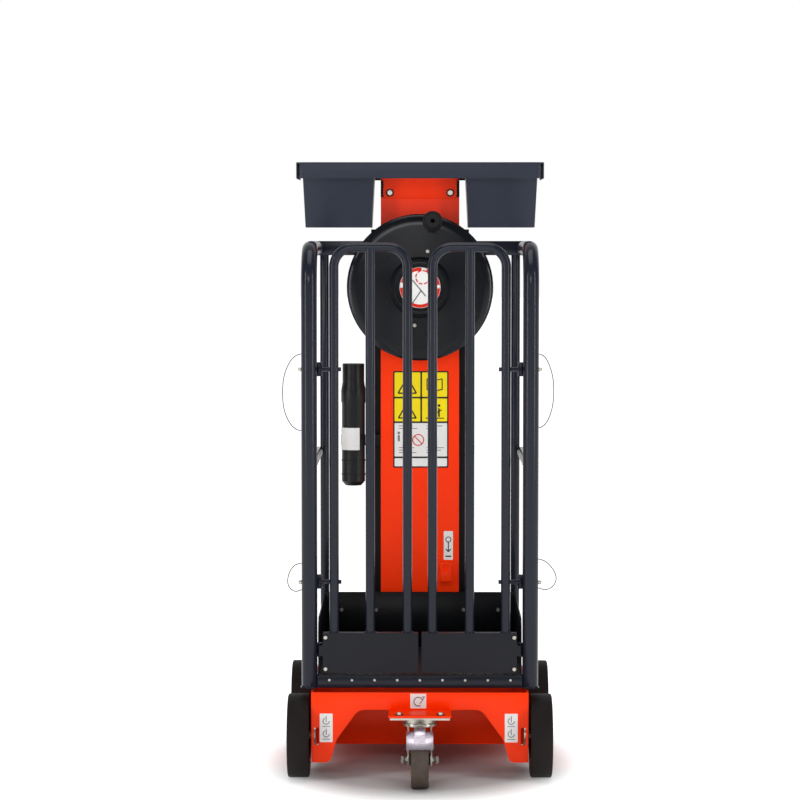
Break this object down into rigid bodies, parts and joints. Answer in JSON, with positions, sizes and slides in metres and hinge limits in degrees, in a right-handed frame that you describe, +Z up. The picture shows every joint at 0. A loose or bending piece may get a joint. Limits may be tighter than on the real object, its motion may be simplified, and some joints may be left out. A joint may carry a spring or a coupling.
{
  "type": "manual lift platform",
  "caption": "Push-around personnel lift: caged platform with saloon gates on a telescopic mast, wound up by a hand disc, on wheels and a braked castor.",
  "frame": {"origin": "middle of the machine's footprint, on the floor", "axes": "+X to the right seen from the gates, +Y from the gates towards the mast, +Z up"},
  "size_m": [0.73, 0.898, 1.643],
  "materials": {
    "orange_paint": "semi-gloss powder coat",
    "slate_paint": "glossy powder coat",
    "black_paint": "semi-gloss powder coat",
    "kick_paint": "matte powder coat",
    "deck_metal": "ribbed anti-slip",
    "disc_plastic": "smooth moulded",
    "tray_plastic": "fine moulded grain",
    "tube_plastic": "moulded",
    "grip_plastic": "smooth moulded",
    "pad_plastic": "plain nylon",
    "rim_plastic": "moulded",
    "wheel_rubber": "matte rubber",
    "castor_rubber": "matte rubber",
    "castor_rim_plastic": "moulded",
    "zinc": "zinc plated",
    "brake_zinc": "zinc plated, yellow passivated",
    "lanyard_wire": "coated wire",
    "hub_label": "printed disc"
  },
  "bodies": {
    "chassis": {"chassis_portal": "orange_paint", "chassis_side_left": "orange_paint", "chassis_side_right": "orange_paint", "chassis_cross_panel": "orange_paint", "chassis_floor": "orange_paint", "chassis_back_panel": "orange_paint", "castor_flange": "orange_paint", "castor_top_plate": "zinc", "stub_axles_front": "zinc", "stub_axles_rear": "zinc", "mast_fixed": "black_paint", "mast_collar": "black_paint", "mast_pads_fixed": "pad_plastic"},
    "wheel_front_left": {"tyre_front_left": "wheel_rubber", "rim_front_left": "rim_plastic"},
    "wheel_front_right": {"tyre_front_right": "wheel_rubber", "rim_front_right": "rim_plastic"},
    "wheel_rear_left": {"tyre_rear_left": "wheel_rubber", "rim_rear_left": "rim_plastic"},
    "wheel_rear_right": {"tyre_rear_right": "wheel_rubber", "rim_rear_right": "rim_plastic"},
    "castor_swivel": {"castor_fork": "zinc", "castor_brake": "brake_zinc"},
    "castor_wheel": {"castor_tyre": "castor_rubber", "castor_rim": "castor_rim_plastic"},
    "middle_stage": {"mast_middle": "black_paint", "mast_pads_middle": "pad_plastic"},
    "carriage": {"carriage_spine": "black_paint", "mast_cover": "orange_paint", "winch_housing": "black_paint", "deck_frame": "slate_paint", "deck_plate": "deck_metal", "toe_board_back": "black_paint", "toe_board_left": "slate_paint", "toe_board_right": "slate_paint", "back_rail": "slate_paint", "side_guard_left": "slate_paint", "side_guard_right": "slate_paint", "release_pins_left": "zinc", "release_pins_right": "zinc", "work_tray": "tray_plastic", "tray_bracket": "orange_paint", "document_tube": "tube_plastic", "document_bracket": "black_paint", "harness_anchor": "orange_paint", "lanyard_upper_left": "lanyard_wire", "lanyard_upper_right": "lanyard_wire", "lanyard_lower_left": "lanyard_wire", "lanyard_lower_right": "lanyard_wire"},
    "crank": {"crank_disc": "disc_plastic", "crank_hub_cap": "hub_label", "crank_grip": "grip_plastic"},
    "gate_left": {"gate_frame_left": "slate_paint", "gate_kick_plate_left": "kick_paint"},
    "gate_right": {"gate_frame_right": "slate_paint", "gate_kick_plate_right": "kick_paint"}
  },
  "joints": [
    {"name": "roll_front_left", "type": "hinge", "parent": "chassis", "child": "wheel_front_left", "pos_m": [-0.3215, -0.226, 0.111], "axis": [1, 0, 0], "continuous": true},
    {"name": "roll_front_right", "type": "hinge", "parent": "chassis", "child": "wheel_front_right", "pos_m": [0.3215, -0.226, 0.111], "axis": [1, 0, 0], "continuous": true},
    {"name": "roll_rear_left", "type": "hinge", "parent": "chassis", "child": "wheel_rear_left", "pos_m": [-0.3365, 0.338, 0.111], "axis": [1, 0, 0], "continuous": true},
    {"name": "roll_rear_right", "type": "hinge", "parent": "chassis", "child": "wheel_rear_right", "pos_m": [0.3365, 0.338, 0.111], "axis": [1, 0, 0], "continuous": true},
    {"name": "castor_turn", "type": "hinge", "parent": "chassis", "child": "castor_swivel", "pos_m": [0, -0.32, 0.16], "axis": [0, 0, 1], "continuous": true},
    {"name": "castor_roll", "type": "hinge", "parent": "castor_swivel", "child": "castor_wheel", "pos_m": [0, -0.374, 0.075], "axis": [1, 0, 0], "continuous": true},
    {"name": "lift", "type": "slide", "parent": "chassis", "child": "carriage", "axis": [0, 0, 1], "range_m": [0, 1.22]},
    {"name": "mast_extend", "type": "slide", "parent": "chassis", "child": "middle_stage", "axis": [0, 0, 1], "range_m": [0, 0.61]},
    {"name": "crank_turn", "type": "hinge", "parent": "carriage", "child": "crank", "pos_m": [0, 0.23, 1.294], "axis": [0, 1, 0], "continuous": true},
    {"name": "gate_left_swing", "type": "hinge", "parent": "carriage", "child": "gate_left", "pos_m": [-0.267, -0.222, 0.8], "axis": [0, 0, 1], "range_deg": [0, 80]},
    {"name": "gate_right_swing", "type": "hinge", "parent": "carriage", "child": "gate_right", "pos_m": [0.267, -0.222, 0.8], "axis": [0, 0, -1], "range_deg": [0, 80]}
  ],
  "couplings": [
    {"joint": "mast_extend", "follows": "lift", "ratio": 0.5},
    {"joint": "crank_turn", "follows": "lift", "rad_per_m": 61.802}
  ]
}
